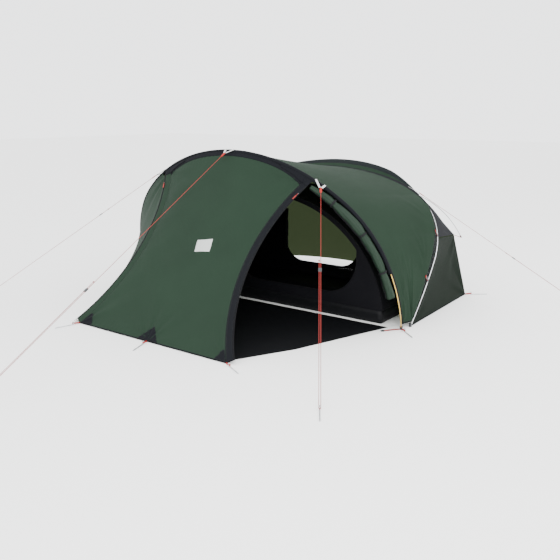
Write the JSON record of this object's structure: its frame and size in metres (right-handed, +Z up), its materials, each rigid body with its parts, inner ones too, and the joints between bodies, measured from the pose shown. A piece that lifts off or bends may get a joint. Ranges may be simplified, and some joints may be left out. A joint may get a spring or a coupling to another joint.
{
  "type": "tent",
  "caption": "Two-hoop tent with a deep front vestibule, one side door rolled open, a dark inner tent with a tray floor, arched rear vent strip, vent hoods on struts, guy lines and pegs.",
  "frame": {"origin": "bottom centre of the bounding box of the tent without its guy cords, their runners and their pegs, on the ground", "axes": "+X from the vestibule to the rear, -Y towards the rolled-open left door, +Z up"},
  "size_m": [5.1322, 5.2104, 1.5189],
  "materials": {
    "front_fabric": "coated ripstop, slight sheen",
    "door_fabric": "coated ripstop, slight sheen",
    "roof_fabric": "coated ripstop, slight sheen",
    "rear_fabric": "coated ripstop, slight sheen",
    "dark_fabric": "matt woven",
    "mesh": "fine net",
    "inner_fabric": "matt woven",
    "floor_fabric": "coated, satin",
    "zip": "satin",
    "slider": "satin",
    "red_webbing": "woven",
    "white_webbing": "woven",
    "dark_webbing": "woven",
    "buckle": "satin",
    "gold_pole": "anodised",
    "silver_pole": "anodised",
    "strut": "satin",
    "black_plastic": "satin",
    "peg": "satin",
    "cord": "braided",
    "label": "printed"
  },
  "bodies": {
    "tent": {"door_band_left": "dark_fabric", "door_band_right": "dark_fabric", "door_ties": "dark_webbing", "door_zip_left": "zip", "door_zip_right": "zip", "foot_buckles": "buckle", "foot_straps": "red_webbing", "front_panel": "front_fabric", "front_pole": "gold_pole", "front_sleeve": "dark_fabric", "groundsheet": "floor_fabric", "guy_adapters": "red_webbing", "guy_front": "cord", "guy_left": "cord", "guy_peg_front": "peg", "guy_peg_left": "peg", "guy_peg_rear": "peg", "guy_peg_right": "peg", "guy_rear": "cord", "guy_right": "cord", "guy_webbing": "white_webbing", "hem_patches": "dark_fabric", "hem_pegs": "peg", "hood_straps": "red_webbing", "inner_canopy": "inner_fabric", "inner_door_rolls": "inner_fabric", "inner_front_wall": "inner_fabric", "inner_hangers": "dark_webbing", "inner_rear_wall": "inner_fabric", "inner_tray": "floor_fabric", "left_door_roll": "door_fabric", "peg_loops": "red_webbing", "plain_label": "label", "pole_clips": "black_plastic", "pole_feet": "black_plastic", "rear_pole": "silver_pole", "rear_side_left": "rear_fabric", "rear_side_right": "rear_fabric", "rear_sleeve": "dark_fabric", "rear_strip": "roof_fabric", "rear_vent_strip": "dark_fabric", "rear_wall": "rear_fabric", "right_door": "door_fabric", "roof_panel": "roof_fabric", "side_mesh_left": "mesh", "side_mesh_right": "mesh", "strut_caps": "black_plastic", "vent_hood_left": "dark_fabric", "vent_hood_right": "dark_fabric", "vent_strut_left": "strut", "vent_strut_right": "strut"},
    "zip_slider_left": {"zip_slider_left": "slider"},
    "zip_puller_left": {"zip_puller_left": "red_webbing"},
    "zip_slider_right": {"zip_slider_right": "slider"},
    "zip_puller_right": {"zip_puller_right": "red_webbing"},
    "runner_front": {"runner_front": "black_plastic"},
    "runner_left": {"runner_left": "black_plastic"},
    "runner_right": {"runner_right": "black_plastic"},
    "runner_rear": {"runner_rear": "black_plastic"}
  },
  "joints": [
    {"name": "zip_left_run", "type": "hinge", "parent": "tent", "child": "zip_slider_left", "pos_m": [-0.87658, -2.22687, 0.68703], "axis": [-0.7414, 0, 0.671], "range_deg": [-2, 54]},
    {"name": "zip_left_pull", "type": "hinge", "parent": "zip_slider_left", "child": "zip_puller_left", "pos_m": [-0.44499, -0.78791, 1.17879], "axis": [0.2777, 0.9103, 0.3069], "range_deg": [0, 150]},
    {"name": "zip_right_run", "type": "hinge", "parent": "tent", "child": "zip_slider_right", "pos_m": [-0.87658, 2.22687, 0.68703], "axis": [0.7414, 0, -0.671], "range_deg": [-2, 54]},
    {"name": "zip_right_pull", "type": "hinge", "parent": "zip_slider_right", "child": "zip_puller_right", "pos_m": [-0.44499, 0.78791, 1.17879], "axis": [-0.2777, 0.9103, -0.3069], "range_deg": [0, 150]},
    {"name": "guy_front_runner", "type": "slide", "parent": "tent", "child": "runner_front", "axis": [-0.8666, 0, -0.4991], "range_m": [-0.05, 0.25]},
    {"name": "guy_left_runner", "type": "slide", "parent": "tent", "child": "runner_left", "axis": [-0.6768, -0.4399, -0.5903], "range_m": [-0.05, 0.25]},
    {"name": "guy_right_runner", "type": "slide", "parent": "tent", "child": "runner_right", "axis": [-0.5253, 0.6376, -0.5634], "range_m": [-0.05, 0.25]},
    {"name": "guy_rear_runner", "type": "slide", "parent": "tent", "child": "runner_rear", "axis": [0.3441, -0.7608, -0.5503], "range_m": [-0.05, 0.25]}
  ]
}
